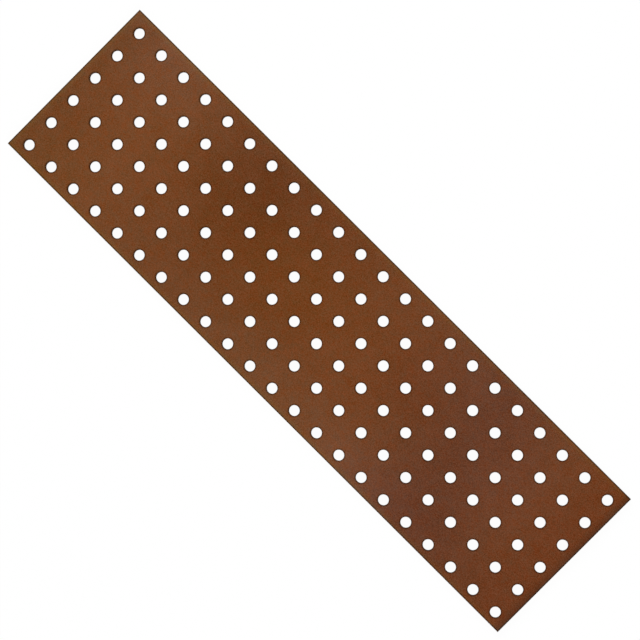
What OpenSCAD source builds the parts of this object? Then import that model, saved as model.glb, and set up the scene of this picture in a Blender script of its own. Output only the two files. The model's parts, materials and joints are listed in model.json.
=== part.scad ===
// Prototype board: one bare sheet of brown paper-phenolic laminate, sheared to
// size and punched all over with a square grid of plain holes.
//
// X runs along the board and Y across it. The origin is on the underside, at
// the centre of the hole grid, so every hole lies a whole or half pitch away.

/* [Hole grid] */
// Number of holes along the board
holes_long = 22; // [2:1:40]
// Number of holes across the board
holes_wide = 6; // [2:1:18]
// Distance between neighbouring hole centres, the same along and across
pitch = 6.731; // [5:0.001:12]
// Diameter of the straight wall of each hole
hole_d = 2.33; // [0.8:0.01:3]

/* [Sheet] */
// Thickness of the laminate
sheet_t = 1.575; // [0.8:0.005:3.2]
// Left edge of the board to the first hole centres
margin_left = 3.55; // [2:0.05:12]
// Right edge of the board to the last hole centres
margin_right = 3.35; // [2:0.05:12]
// Back edge of the board to the back row of hole centres
margin_back = 3.7; // [2:0.05:12]
// Front edge to the front row at the left end: the front cut is a little askew
margin_front_left = 3.05; // [2:0.05:12]
// Front edge to the front row at the right end
margin_front_right = 2.65; // [2:0.05:12]

/* [Sheared edges] */
// Radius that the shear blade rolls along the top edges of the sheet
edge_roll_r = 0.15; // [0.05:0.01:0.3]
// Bevel that the cut leaves where it breaks out along the bottom edges
edge_break = 0.06; // [0.02:0.01:0.2]

/* [Punched holes] */
// Radius of the rolled-in lip round each hole, where the punch enters
lip_r = 0.1; // [0.02:0.01:0.2]
// Height of the cone that breaks out round each hole on the underside
breakout_h = 0.4; // [0.05:0.05:0.5]
// How far that cone widens the hole at the underside, on the radius
breakout_flare = 0.07; // [0.01:0.01:0.2]

/* [Hidden] */
$fn = 96;

grid_l = (holes_long - 1) * pitch;
grid_w = (holes_wide - 1) * pitch;
left_x = -grid_l / 2 - margin_left;
right_x = grid_l / 2 + margin_right;
back_y = grid_w / 2 + margin_back;
front_left_y = -grid_w / 2 - margin_front_left;
front_right_y = -grid_w / 2 - margin_front_right;

// The four corners of the sheet, counter-clockwise from the front left
corners = [
    [left_x, front_left_y],
    [right_x, front_right_y],
    [right_x, back_y],
    [left_x, back_y]
];

hole_r = hole_d / 2;
// How far a cutter runs past the face that it opens
past = 0.5;

// Section of the strip that the shear takes off along one edge of the sheet,
// with the sheet on its right: a rolled corner above, a small bevel below.
module shear_section() {
    difference() {
        translate([-past, sheet_t - edge_roll_r])
            square([past + edge_roll_r, edge_roll_r + past]);
        translate([edge_roll_r, sheet_t - edge_roll_r])
            circle(edge_roll_r);
    }
    polygon([
        [-past, -past],
        [edge_break + past, -past],
        [-past, edge_break + past]
    ]);
}

// That strip, laid along the edge from corner a to corner b
module shear_cut(a, b) {
    run = b - a;
    translate([a.x, a.y, 0])
        rotate(atan2(run.y, run.x))
            translate([-past, 0, 0])
                rotate([90, 0, 90])
                    linear_extrude(norm(run) + 2 * past)
                        shear_section();
}

// The bare sheet, sheared on all four sides
module sheared_sheet() {
    difference() {
        linear_extrude(sheet_t)
            polygon(corners);
        for (i = [0 : 3])
            shear_cut(corners[i], corners[(i + 1) % 4]);
    }
}

// Half section of what one stroke of the punch takes out, from the hole's axis
// outwards: the cone that breaks out below, a straight wall, a rolled-in lip.
module punch_section() {
    breakout_slope = breakout_flare / breakout_h;
    difference() {
        polygon([
            [0, -past],
            [hole_r + breakout_flare + past * breakout_slope, -past],
            [hole_r, breakout_h],
            [hole_r, sheet_t - lip_r],
            [hole_r + lip_r, sheet_t - lip_r],
            [hole_r + lip_r, sheet_t + past],
            [0, sheet_t + past]
        ]);
        translate([hole_r + lip_r, sheet_t - lip_r])
            circle(lip_r);
    }
}

// One stroke of the punch at every crossing of the grid
module punched_grid() {
    for (i = [0 : holes_long - 1], j = [0 : holes_wide - 1])
        translate([i * pitch - grid_l / 2, j * pitch - grid_w / 2, 0])
            rotate_extrude()
                punch_section();
}

module perforated_board() {
    color("#6f4226")
        difference() {
            sheared_sheet();
            punched_grid();
        }
}

perforated_board();
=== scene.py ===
import json
import math

import bmesh
import bpy
import numpy as np
from mathutils import Matrix, Vector


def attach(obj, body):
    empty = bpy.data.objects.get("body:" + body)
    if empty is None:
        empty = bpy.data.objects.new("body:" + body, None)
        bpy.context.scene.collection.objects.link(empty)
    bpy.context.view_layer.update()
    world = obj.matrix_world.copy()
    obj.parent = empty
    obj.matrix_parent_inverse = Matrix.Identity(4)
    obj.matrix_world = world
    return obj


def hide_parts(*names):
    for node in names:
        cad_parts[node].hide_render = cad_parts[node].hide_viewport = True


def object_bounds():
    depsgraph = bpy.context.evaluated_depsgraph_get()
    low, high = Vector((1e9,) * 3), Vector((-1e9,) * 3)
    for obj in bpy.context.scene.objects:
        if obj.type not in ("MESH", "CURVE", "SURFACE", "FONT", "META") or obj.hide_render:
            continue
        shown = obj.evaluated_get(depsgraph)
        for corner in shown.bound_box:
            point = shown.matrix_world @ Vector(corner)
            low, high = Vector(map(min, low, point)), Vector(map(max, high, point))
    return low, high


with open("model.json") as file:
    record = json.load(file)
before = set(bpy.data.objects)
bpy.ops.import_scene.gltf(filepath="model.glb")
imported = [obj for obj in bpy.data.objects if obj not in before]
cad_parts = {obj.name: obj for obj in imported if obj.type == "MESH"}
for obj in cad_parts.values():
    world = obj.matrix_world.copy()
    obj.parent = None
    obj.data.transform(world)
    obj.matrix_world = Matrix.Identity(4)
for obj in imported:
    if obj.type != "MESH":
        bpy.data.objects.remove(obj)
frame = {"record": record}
cadLow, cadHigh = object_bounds()
print("frame loaded, CAD box in mm", [round(1000 * v, 2) for v in cadHigh - cadLow])

mm = 0.001

# The camera looks down on the board from well above, a little off the vertical.
# The picture's upper edge lies half way between the board's back and left sides.
cameraSetup = {
    "place": (40.31 * mm, 26.29 * mm, 699.61 * mm),
    "aimsAt": (0.342 * mm, 0.764 * mm, 1.575 * mm),
    "pictureUp": math.radians(134.955),  # heading of the picture's up, from +X towards +Y
    "lens": 184.27,
    "sensor": 36.0,
    "clip": (0.01, 20.0),
}


# Sets up the camera from three unit vectors: back, from the aim to the camera; right,
# square to back and to the heading; and up, square to both.
def addCamera(setup):
    data = bpy.data.cameras.new("camera")
    data.lens = setup["lens"]
    data.sensor_width = setup["sensor"]
    data.clip_start, data.clip_end = setup["clip"]
    place = Vector(setup["place"])
    back = (place - Vector(setup["aimsAt"])).normalized()
    up = Vector((math.cos(setup["pictureUp"]), math.sin(setup["pictureUp"]), 0.0))
    right = up.cross(back).normalized()
    up = back.cross(right)
    camera = bpy.data.objects.new("camera", data)
    camera.matrix_world = Matrix.Translation(place) @ Matrix((right, up, back)).transposed().to_4x4()
    bpy.context.scene.collection.objects.link(camera)
    bpy.context.scene.camera = camera


addCamera(cameraSetup)
print("camera set")


# Shader maths: a Term wraps one output socket, and an expression on Terms and
# numbers adds the Math nodes that work it out.
class Term:
    def __init__(self, shader, socket):
        self.shader, self.socket = shader, socket

    def maths(self, operation, *others):
        return self.shader.node("ShaderNodeMath", {"operation": operation}, [self, *others])

    def __add__(self, other):
        return self.maths("ADD", other)

    __radd__ = __add__

    def __sub__(self, other):
        return self.maths("SUBTRACT", other)

    def __rsub__(self, other):
        return self.shader.node("ShaderNodeMath", {"operation": "SUBTRACT"}, [other, self])

    def __mul__(self, other):
        return self.maths("MULTIPLY", other)

    __rmul__ = __mul__

    def __truediv__(self, other):
        return self.maths("DIVIDE", other)

    def __pow__(self, other):
        return self.maths("POWER", other)


class Shader:
    def __init__(self, owner):
        owner.use_nodes = True
        self.tree = owner.node_tree
        self.tree.nodes.clear()

    # Any node: its type, then its settings, then the values or links of its sockets,
    # by name or in order. It gives back the output that is asked for.
    def node(self, kind, settings=None, sockets=(), output=0):
        made = self.tree.nodes.new(kind)
        for name, value in (settings or {}).items():
            setattr(made, name, value)
        pairs = sockets.items() if isinstance(sockets, dict) else enumerate(sockets)
        for key, value in pairs:
            if isinstance(value, Term):
                self.tree.links.new(value.socket, made.inputs[key])
            else:
                made.inputs[key].default_value = value
        return Term(self, made.outputs[output]) if len(made.outputs) else made

    # The same, for several outputs of one node, by name
    def outputs(self, kind, names, sockets=()):
        made = self.node(kind, sockets=sockets).socket.node
        return [Term(self, made.outputs[name]) for name in names]


# The board. Its outline comes from the CAD box and its holes from the record's
# mounts; these are the sizes that neither of the two gives.
board = {
    "frontSkew": 0.40 * mm,  # how much closer the front cut comes to the holes at the right end
    "edgeRoll": 0.15 * mm,  # radius rolled along the top edges by the shear blade
    "edgeBreak": 0.06 * mm,  # bevel where the cut breaks out below
    "lip": 0.10 * mm,  # radius of the rolled-in lip round each hole
    "breakoutHeight": 0.40 * mm,
    "breakoutFlare": 0.07 * mm,
    "collar": 0.12 * mm,  # flat ring round each rim, which keeps the tear off the underside
    "sides": 32,  # points round each hole; a multiple of 8 puts one on each cell corner
    "roundSteps": 3,  # steps in the lip and in the rolled edge
    "wallTear": 0.010 * mm,  # unevenness of the torn lower part of a punched wall
    "rimTear": 0.035 * mm,  # of the rim that the slug leaves on the underside
    "edgeTear": 0.020 * mm,  # and of the sheared edges
    "rimTearAbove": 0.1,  # how much of the rim's tear reaches the top of its cone
    "edgeLevels": [(0.35 * mm, 1.0), (0.70 * mm, 0.8), (1.05 * mm, 0.3)],  # height, share of the tear
    "wallWaves": (3, 12),  # waves round the hole: from, up to
    "rimWaves": (2, 10),
    "edgeWaves": (20, 150, 3),  # waves round the board: from, up to, every
    "joinWithin": 0.0005 * mm,
    "sharpAngle": math.radians(35),
    "seed": 11,
}

holeMounts = [m for m in frame["record"]["mounts"] if m["kind"] == "bore"]
holeCentres = np.array([m["pos_m"][:2] for m in holeMounts])
holeRadius = holeMounts[0]["dims"]["r_mm"] * mm
columns = np.unique(holeCentres[:, 0].round(7))
rows = np.unique(holeCentres[:, 1].round(7))
pitch = (columns[-1] - columns[0]) / (len(columns) - 1)
thickness = cadHigh.z - cadLow.z
frontSlope = board["frontSkew"] / (cadHigh.x - cadLow.x)


# Where a point of the even grid of square cells lies on the real sheet. Inside the
# outermost rows of holes it stays where it is; outside them the half cell is
# stretched to reach the sheet's edge, less the inset.
def toSheet(x, y, inset):
    half = pitch / 2
    left, right = cadLow.x + inset, cadHigh.x - inset
    x = np.where(x < columns[0], columns[0] - (columns[0] - x) / half * (columns[0] - left), x)
    x = np.where(x > columns[-1], columns[-1] + (x - columns[-1]) / half * (right - columns[-1]), x)
    front = cadLow.y + (x - cadLow.x) * frontSlope + inset * math.hypot(1, frontSlope)
    back = cadHigh.y - inset
    y = np.where(y < rows[0], rows[0] - (rows[0] - y) / half * (rows[0] - front), y)
    y = np.where(y > rows[-1], rows[-1] + (y - rows[-1]) / half * (back - rows[-1]), y)
    return x, y


# A random wave round a closed loop: a sum of sines with whole numbers of turns,
# scaled to lie between 0 and 1. One row for each loop.
def loopWaves(rng, loops, turns, angles):
    phase = rng.uniform(0, 2 * math.pi, (loops, len(turns), 1))
    height = rng.uniform(0.4, 1.0, (loops, len(turns), 1)) / np.sqrt(turns)[None, :, None]
    wave = (height * np.sin(turns[None, :, None] * angles + phase)).sum(1)
    low, high = wave.min(1, keepdims=True), wave.max(1, keepdims=True)
    return (wave - low) / (high - low)


# Faces between the rings of a stack of closed loops: quad k joins point k and k + 1
# of one ring to the same points of the next.
def ringQuads(rings, sides):
    ring, k = np.meshgrid(np.arange(rings - 1), np.arange(sides), indexing="ij")
    here, after = ring * sides + k, ring * sides + (k + 1) % sides
    return np.stack([here, after, after + sides, here + sides], -1).reshape(-1, 4)


# A rolled corner in section: a quarter circle of the radius from the top of the wall
# to the top face. Out is measured from the wall and up from the underside.
def rolledCorner(radius):
    turn = np.linspace(0, math.pi / 2, board["roundSteps"] + 1)
    return radius * (1 - np.cos(turn)), thickness - radius * (1 - np.sin(turn))


# Every hole's cell as one stack of rings, from the cell's border on the underside,
# in to the break-out rim, up the cone and the wall, over the lip and out to the
# border on top. A ring is the circle of its radius; a border is the circle's ray
# carried out to the square cell and from there to the sheet.
def cellRings(rng):
    sides = board["sides"]
    angle = np.arange(sides) * 2 * math.pi / sides
    ray = np.stack([np.cos(angle), np.sin(angle)])
    square = ray / np.abs(ray).max(0) * pitch / 2
    rim = holeRadius + board["breakoutFlare"]
    # radius, height and how much of the wall's and of the rim's tear each ring takes
    profile = [
        (rim + board["collar"], 0.0, 0.0, 0.0),
        (rim, 0.0, 0.0, 1.0),
        (holeRadius, board["breakoutHeight"], 1.0, board["rimTearAbove"]),
        *[(holeRadius + out, up, 0.0, 0.0) for out, up in zip(*rolledCorner(board["lip"]))],
        (holeRadius + 2 * board["lip"], thickness, 0.0, 0.0),
    ]
    radius, height, wallShare, rimShare = (np.array(p)[:, None] for p in zip(*profile))
    count = len(holeCentres)
    wall = loopWaves(rng, count, np.arange(*board["wallWaves"]), angle)[:, None, :] * board["wallTear"]
    tear = loopWaves(rng, count, np.arange(*board["rimWaves"]), angle)[:, None, :] ** 2 * board["rimTear"]
    reach = radius + wallShare * wall + rimShare * tear
    flat = holeCentres[:, :, None, None] + ray[None, :, None, :] * reach[:, None]
    border = holeCentres[:, :, None] + square[None]
    below = np.stack(toSheet(border[:, 0], border[:, 1], board["edgeBreak"]), 1)
    above = np.stack(toSheet(border[:, 0], border[:, 1], board["edgeRoll"]), 1)
    flat = np.concatenate([below[:, :, None], flat, above[:, :, None]], 2)
    heights = np.concatenate([[0.0], height[:, 0], [thickness]])
    z = np.broadcast_to(heights[None, :, None], (count, len(heights), sides))
    points = np.stack([flat[:, 0], flat[:, 1], z], -1)
    start = np.arange(count)[:, None, None] * len(heights) * sides
    faces = start + ringQuads(len(heights), sides)[None]
    return points.reshape(-1, 3), faces.reshape(-1, 4)


# The sheared edge: its section, a bevel below, a wall and a rolled corner above,
# carried round the outline. The outline's points are those of the cell borders, so
# that both faces meet it point to point.
def edgeRings(rng):
    steps = board["sides"] // 8
    spread = np.tan(np.arange(-steps, steps) * math.pi / 4 / steps) * pitch / 2
    alongX = (columns[:, None] + spread).ravel()
    alongY = (rows[:, None] + spread).ravel()
    farX, farY = columns[-1] + pitch / 2, rows[-1] + pitch / 2
    x = np.concatenate([alongX, np.full(len(alongY), farX), -alongX, np.full(len(alongY), -farX)])
    y = np.concatenate([np.full(len(alongX), -farY), alongY, np.full(len(alongX), farY), -alongY])
    # inset, height and share of the tear
    section = [
        (board["edgeBreak"], 0.0, 0.0),
        (0.0, board["edgeBreak"], 1.0),
        *[(0.0, height, share) for height, share in board["edgeLevels"]],
        *[(out, up, 0.0) for out, up in zip(*rolledCorner(board["edgeRoll"]))],
    ]
    inset, height, share = (np.array(s)[:, None] for s in zip(*section))
    walk = np.arange(len(x)) / len(x) * 2 * math.pi
    tear = loopWaves(rng, 1, np.arange(*board["edgeWaves"]), walk) * board["edgeTear"]
    px, py = toSheet(x[None], y[None], inset + share * tear)
    points = np.stack([px, py, np.broadcast_to(height, px.shape)], -1)
    return points.reshape(-1, 3), ringQuads(len(section), len(x))


# Joins the parts where their points coincide and turns every face outwards.
def makeSheet(name):
    rng = np.random.default_rng(board["seed"])
    cellPoints, cellFaces = cellRings(rng)
    edgePoints, edgeFaces = edgeRings(rng)
    points = np.concatenate([cellPoints, edgePoints])
    faces = np.concatenate([cellFaces, edgeFaces + len(cellPoints)])
    places = (points / board["joinWithin"]).round().astype(np.int64)
    first, joined = np.unique(places, axis=0, return_index=True, return_inverse=True)[1:]
    mesh = bpy.data.meshes.new(name)
    mesh.from_pydata(points[first], [], joined.ravel()[faces])
    mesh.validate()
    work = bmesh.new()
    work.from_mesh(mesh)
    bmesh.ops.recalc_face_normals(work, faces=work.faces)
    openEdges = sum(1 for e in work.edges if not e.is_manifold)
    work.to_mesh(mesh)
    work.free()
    mesh.shade_smooth()
    mesh.set_sharp_from_angle(angle=board["sharpAngle"])
    print(f"{name}: {len(first)} points, {len(mesh.polygons)} faces, {openEdges} open edges")
    sheet = bpy.data.objects.new(name, mesh)
    bpy.context.scene.collection.objects.link(sheet)
    return sheet


sheet = makeSheet("punchedSheet")
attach(sheet, "root")
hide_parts("perforated_board")


# The laminate: brown resin-soaked paper under a satin skin. Lengths in mm, colours
# linear; a tint multiplies the colour where it is whole. A fade gives the distances
# up to which a mark is whole and from which it is gone.
phenolic = {
    "face": (0.1530, 0.0500, 0.0144),
    "warmer": (1.13, 0.91, 0.66),  # the two ends between which the brown wanders
    "cooler": (0.90, 1.07, 1.32),
    "blotchSize": 1.1,
    "blotchPull": 1.7,  # how far the blotches and the flecks move it between the two
    "fleckSize": 0.27,
    "fleckPull": 1.5,
    "grainSize": 0.22,
    "grain": (0.0460, 0.0237, 0.0152),  # what a pale grain adds and a dark one takes away: the resin's own fine tone, with painted glints of the satin skin in its grey share
    "hazeSize": 4.0,
    "haze": (0.0082, 0.0046, 0.0033),  # the same for wide soft clouds: partly the resin's own tone, partly painted sheen
    "speckGain": 4.0,  # brings the noise of both to about -1 to 1
    "ringTint": (0.58, 0.56, 0.40),  # painted shade in a ring round a hole, where its lip turns away from the light, measured from its wall
    "ringFade": (0.16, 0.44),
    # painted shade on the rolled lip round each hole, and on the rolled top corners of the sheared edges
    "lipTint": (0.40, 0.40, 0.34),
    "lipFade": (0.06, 0.16),
    "paleTint": (1.06, 1.20, 1.02),  # a painted highlight: a lighter band just inside a sheared edge, where the light falls on it
    "paleFade": (0.25, 1.40),
    "burntTint": (0.68, 0.73, 0.74),  # painted shade: the right end is darker instead
    "burntFade": (0.25, 2.20),
    "bruiseTint": (0.32, 0.36, 0.22),  # painted shade: a dark line along each edge, where it rolls away from the light
    "bruiseFade": (0.16, 0.36),
    "cutPale": (0.250, 0.108, 0.043),
    "cutDark": (0.108, 0.035, 0.013),
    "plyThickness": 0.17,
    "plyWander": 0.35,  # waves in a ply for each mm along the sheet
    "plyFade": (-0.12, 0.12),  # noise levels of a dark and of a pale ply
    "fibreSize": 0.12,
    "fibrePull": 0.35,
    "wallTint": (0.40, 0.38, 0.36),  # painted shade: a punched wall, down in its hole, is darker than a sheared one
    "wallFade": (0.01, 0.08),  # from a punched wall out to the face
    "edgeFade": (0.03, 0.12),  # from a sheared edge in to the face
    "rolledFade": (0.05, 0.25),  # from the top face down
    "satin": 0.34,
    "satinSpread": 0.2,  # how much rougher a pale grain is
    "gloss": 0.1,
    "matte": 0.85,
    "skinRelief": 0.003,  # height of the grain on the faces
    "tornRelief": 0.03,  # and of the torn plies in the cuts
}

# Broad patches in the brown, partly the resin's own tone and partly painted sheen, soft reflections on the
# satin skin: place, reach along and across in mm, and tint
tintAndSheenPatches = [
    {"place": (-57, 0), "reach": (17, 45), "tint": (1.12, 1.16, 1.18)},
    {"place": (-62, 18), "reach": (15, 8), "tint": (1.03, 1.14, 1.50)},
    {"place": (-66, -17), "reach": (12, 8), "tint": (0.95, 0.98, 0.88)},
    {"place": (-79, 0), "reach": (8, 45), "tint": (0.85, 0.90, 0.74)},
    {"place": (-29, 12), "reach": (15, 17), "tint": (0.82, 0.80, 0.75)},
    {"place": (-17, 3), "reach": (27, 13), "tint": (1.01, 0.92, 0.55)},
    {"place": (16, -3), "reach": (11, 24), "tint": (1.05, 1.02, 1.01)},
    {"place": (-9, 18), "reach": (14, 7), "tint": (0.97, 0.94, 0.90)},
    {"place": (0, -18), "reach": (38, 7), "tint": (1.05, 1.18, 1.43)},
    {"place": (29, -18), "reach": (12, 7), "tint": (1.07, 1.13, 1.40)},
    {"place": (24, 6), "reach": (9, 9), "tint": (0.95, 0.90, 0.90)},
    {"place": (30, 17), "reach": (16, 8), "tint": (0.99, 1.06, 1.30)},
    {"place": (42, 0), "reach": (14, 45), "tint": (0.83, 0.81, 1.08)},
    {"place": (57, 4), "reach": (10, 14), "tint": (1.03, 1.04, 1.26)},
    {"place": (55, -17), "reach": (17, 9), "tint": (0.89, 0.84, 0.90)},
    {"place": (72, 0), "reach": (10, 45), "tint": (0.93, 0.77, 0.64)},
]


# The object's own coordinates, scaled from metres to mm
def objectPlace(shader):
    coords = shader.node("ShaderNodeTexCoord", output="Object")
    return shader.node("ShaderNodeVectorMath", {"operation": "SCALE"}, {"Vector": coords, "Scale": 1 / mm})


# Noise round zero whose spots are about as wide as size: the noise texture less a half
def spots(shader, place, size, detail=2.0, stretch=None):
    if stretch:
        place = shader.node("ShaderNodeVectorMath", {"operation": "MULTIPLY"}, [place, stretch])
    sockets = {"Vector": place, "Scale": 1 / size, "Detail": detail, "Roughness": 0.55}
    return shader.node("ShaderNodeTexNoise", sockets=sockets) - 0.5


# 1 up to the first of the two distances, 0 from the second on, with a smooth slope between
def fade(shader, value, distances, start=0.0):
    return shader.node(
        "ShaderNodeMapRange",
        {"interpolation_type": "SMOOTHSTEP"},
        {
            "Value": value,
            "From Min": start + distances[0],
            "From Max": start + distances[1],
            "To Min": 1.0,
            "To Max": 0.0,
        },
    )


# Mixes two colours, or with MULTIPLY tints the first by the second, as far as amount goes
def mixColour(shader, amount, first, second, way="MIX"):
    first, second = (c if isinstance(c, Term) else (*c, 1.0) for c in (first, second))
    settings = {"data_type": "RGBA", "blend_type": way, "clamp_factor": True}
    return shader.node("ShaderNodeMix", settings, {0: amount, 6: first, 7: second}, output=2)


# The place in mm, and the distances that the painted light and shade at the cuts, and the cut faces, go
# by: from the axis of the nearest hole, worked out from x and y as they lie in that hole's own cell, from
# the front, back and left edges, and from the right edge.
def cutDistances(shader, place):
    x, y, z = shader.outputs("ShaderNodeSeparateXYZ", "XYZ", [place])
    step = pitch / mm
    cellX = ((x - columns[0] / mm) / step + 0.5).maths("FRACT") - 0.5
    cellY = ((y - rows[0] / mm) / step + 0.5).maths("FRACT") - 0.5
    fromAxis = (cellX * cellX + cellY * cellY) ** 0.5 * step
    fromFront = y - cadLow.y / mm - (x - cadLow.x / mm) * frontSlope
    fromLong = fromFront.maths("MINIMUM", cadHigh.y / mm - y)
    fromLeft, fromRight = x - cadLow.x / mm, cadHigh.x / mm - x
    return x, y, z, fromAxis, fromLong.maths("MINIMUM", fromLeft), fromRight


def phenolicMaterial(look):
    material = bpy.data.materials.new("brownPhenolic")
    s = Shader(material)
    place = objectPlace(s)
    x, y, z, fromAxis, fromOther, fromRight = cutDistances(s, place)
    fromEdge = fromOther.maths("MINIMUM", fromRight)

    # the brown wanders between a warmer and a cooler one, and is tinted in broad patches, partly its own
    # tone and partly painted sheen:
    # each patch weighs exp(-d2), with d2 the squared distance in reaches
    flecks = spots(s, place, look["fleckSize"], detail=1.0)
    blotches = spots(s, place, look["blotchSize"], detail=4.0)
    hue = blotches * look["blotchPull"] + flecks * look["fleckPull"] + 0.5
    colour = mixColour(s, hue, look["warmer"], look["cooler"])
    colour = mixColour(s, 1.0, colour, look["face"], "MULTIPLY")
    for patch in tintAndSheenPatches:
        alongX = (x - patch["place"][0]) / patch["reach"][0]
        alongY = (y - patch["place"][1]) / patch["reach"][1]
        weight = (-1.0 * (alongX * alongX + alongY * alongY)).maths("EXPONENT")
        colour = mixColour(s, weight, colour, patch["tint"], "MULTIPLY")
    grain = spots(s, place, look["grainSize"], detail=1.0)
    haze = spots(s, place, look["hazeSize"])
    # fine and wide specks added to the colour: the resin's own tone, with painted glints and sheen in
    # their grey share
    for kind, amount in (("grain", grain), ("haze", haze)):
        sockets = {"Vector": look[kind], "Scale": amount * look["speckGain"]}
        speck = s.node("ShaderNodeVectorMath", {"operation": "SCALE"}, sockets)
        colour = s.node("ShaderNodeVectorMath", {"operation": "ADD"}, [colour, speck])

    # painted light and shade at the cuts: painted shade round each hole, a painted highlight along the
    # edges, painted shade at the right end and along the outline
    holeR = holeRadius / mm
    # painted shade round each hole, on its lip and in a ring just outside it
    ring = fade(s, fromAxis, look["ringFade"], holeR)
    lip = fade(s, fromAxis, look["lipFade"], holeR)
    # painted highlight along the front, back and left edges
    edgeHighlight = fade(s, fromOther, look["paleFade"])
    # painted shade along the right end
    rightEndShade = fade(s, fromRight, look["burntFade"])
    # painted shade in a thin line along the whole outline
    outlineShade = fade(s, fromEdge, look["bruiseFade"])
    for amount, tint in (
        (ring, "ringTint"),
        (lip, "lipTint"),
        (edgeHighlight * (1.0 - rightEndShade), "paleTint"),
        (rightEndShade, "burntTint"),
        (outlineShade, "bruiseTint"),
        (outlineShade * rightEndShade, "burntTint"),
    ):
        colour = mixColour(s, amount, colour, look[tint], "MULTIPLY")

    # a cut shows the plies: thin sheets parallel to the faces, a little wavy
    stretch = (look["plyWander"], look["plyWander"], 1 / look["plyThickness"])
    plies = spots(s, place, 1.0, detail=4.0, stretch=stretch)
    fibres = spots(s, place, look["fibreSize"], detail=3.0)
    darkPly, palePly = look["plyFade"]
    ply = fade(s, plies + fibres * look["fibrePull"], (palePly, darkPly))
    inHole = fade(s, fromAxis, look["wallFade"], holeR)
    onEdge = fade(s, fromEdge, look["edgeFade"])
    rolled = fade(s, thickness / mm - z, look["rolledFade"])
    cutColour = mixColour(s, ply, look["cutPale"], look["cutDark"])
    # painted shade: darker down the punched walls, and on the rolled top corners of the sheared edges
    cutColour = mixColour(s, inHole, cutColour, look["wallTint"], "MULTIPLY")
    cutColour = mixColour(s, rolled * (1.0 - inHole), cutColour, look["lipTint"], "MULTIPLY")

    skin = s.node(
        "ShaderNodeBump",
        sockets={"Strength": 1.0, "Distance": look["skinRelief"] * mm, "Height": grain + hue * 0.3},
    )
    torn = s.node(
        "ShaderNodeBump",
        sockets={"Strength": 1.0, "Distance": look["tornRelief"] * mm, "Height": plies + fibres * 0.5},
    )
    face = s.node(
        "ShaderNodeBsdfPrincipled",
        sockets={
            "Base Color": colour,
            "Roughness": grain * look["satinSpread"] + look["satin"],
            "Specular IOR Level": look["gloss"],
            "Normal": skin,
        },
    )
    cut = s.node(
        "ShaderNodeBsdfPrincipled",
        sockets={
            "Base Color": cutColour,
            "Roughness": look["matte"],
            "Specular IOR Level": look["gloss"],
            "Normal": torn,
        },
    )
    shown = s.node("ShaderNodeMixShader", sockets=[inHole.maths("MAXIMUM", onEdge), face, cut])
    s.node("ShaderNodeOutputMaterial", sockets=[shown])
    return material


sheet.data.materials.append(phenolicMaterial(phenolic))
print("laminate finished")


# The set: a pale floor that shows white in the picture and still takes a faint
# shadow, a world that is as white behind it, and soft light from all round.
studio = {
    "floorSize": 6.0,
    "floorDrop": 0.02 * mm,
    "floorColour": 0.80,
    "white": 0.965,  # what the floor and the world show to the camera
    "shadowShare": 0.035,  # how much of the floor's light a shadow can take away
    "worldLight": 0.20,
    "lamps": {
        "keyLamp": {"place": (-0.62, 0.40, 0.66), "size": 0.60, "power": 7.7},
        "fillLamp": {"place": (0.66, -0.36, 0.64), "size": 0.70, "power": 6.2},
    },
}


# 1 for what the camera sees, straight, in a gloss or through something clear
def seenRay(shader):
    names = ["Is Camera Ray", "Is Glossy Ray", "Is Transmission Ray"]
    camera, glossy, through = shader.outputs("ShaderNodeLightPath", names)
    return camera.maths("MAXIMUM", glossy.maths("MAXIMUM", through))


def addFloor(setup):
    half = setup["floorSize"] / 2
    mesh = bpy.data.meshes.new("floor")
    corners = [(-half, -half), (half, -half), (half, half), (-half, half)]
    mesh.from_pydata([(x, y, -setup["floorDrop"]) for x, y in corners], [], [(0, 1, 2, 3)])
    floor = bpy.data.objects.new("floor", mesh)
    bpy.context.scene.collection.objects.link(floor)
    material = bpy.data.materials.new("paleFloor")
    s = Shader(material)
    plain, faint = (
        s.node("ShaderNodeBsdfDiffuse", sockets={"Color": (*[setup[grey]] * 3, 1.0)})
        for grey in ("floorColour", "shadowShare")
    )
    glow = s.node("ShaderNodeEmission", sockets={"Strength": setup["white"]})
    bright = s.node("ShaderNodeAddShader", sockets=[faint, glow])
    shown = s.node("ShaderNodeMixShader", sockets=[seenRay(s), plain, bright])
    s.node("ShaderNodeOutputMaterial", sockets=[shown])
    mesh.materials.append(material)


def setWorld(setup):
    world = bpy.data.worlds.new("studio")
    bpy.context.scene.world = world
    s = Shader(world)
    light, white = (
        s.node("ShaderNodeBackground", sockets={"Strength": strength})
        for strength in (setup["worldLight"], setup["white"] + setup["shadowShare"])
    )
    shown = s.node("ShaderNodeMixShader", sockets=[seenRay(s), light, white])
    s.node("ShaderNodeOutputWorld", sockets=[shown])


# Square soft lamps, each turned to face the origin
def addLamps(lamps):
    for name, lamp in lamps.items():
        data = bpy.data.lights.new(name, "AREA")
        data.shape, data.size, data.energy = "SQUARE", lamp["size"], lamp["power"]
        made = bpy.data.objects.new(name, data)
        made.location = lamp["place"]
        made.rotation_mode = "QUATERNION"
        made.rotation_quaternion = Vector(lamp["place"]).to_track_quat("Z", "Y")
        bpy.context.scene.collection.objects.link(made)


addFloor(studio)
setWorld(studio)
addLamps(studio["lamps"])
bpy.context.scene.view_settings.view_transform = "Standard"
print("floor, world and lamps set")
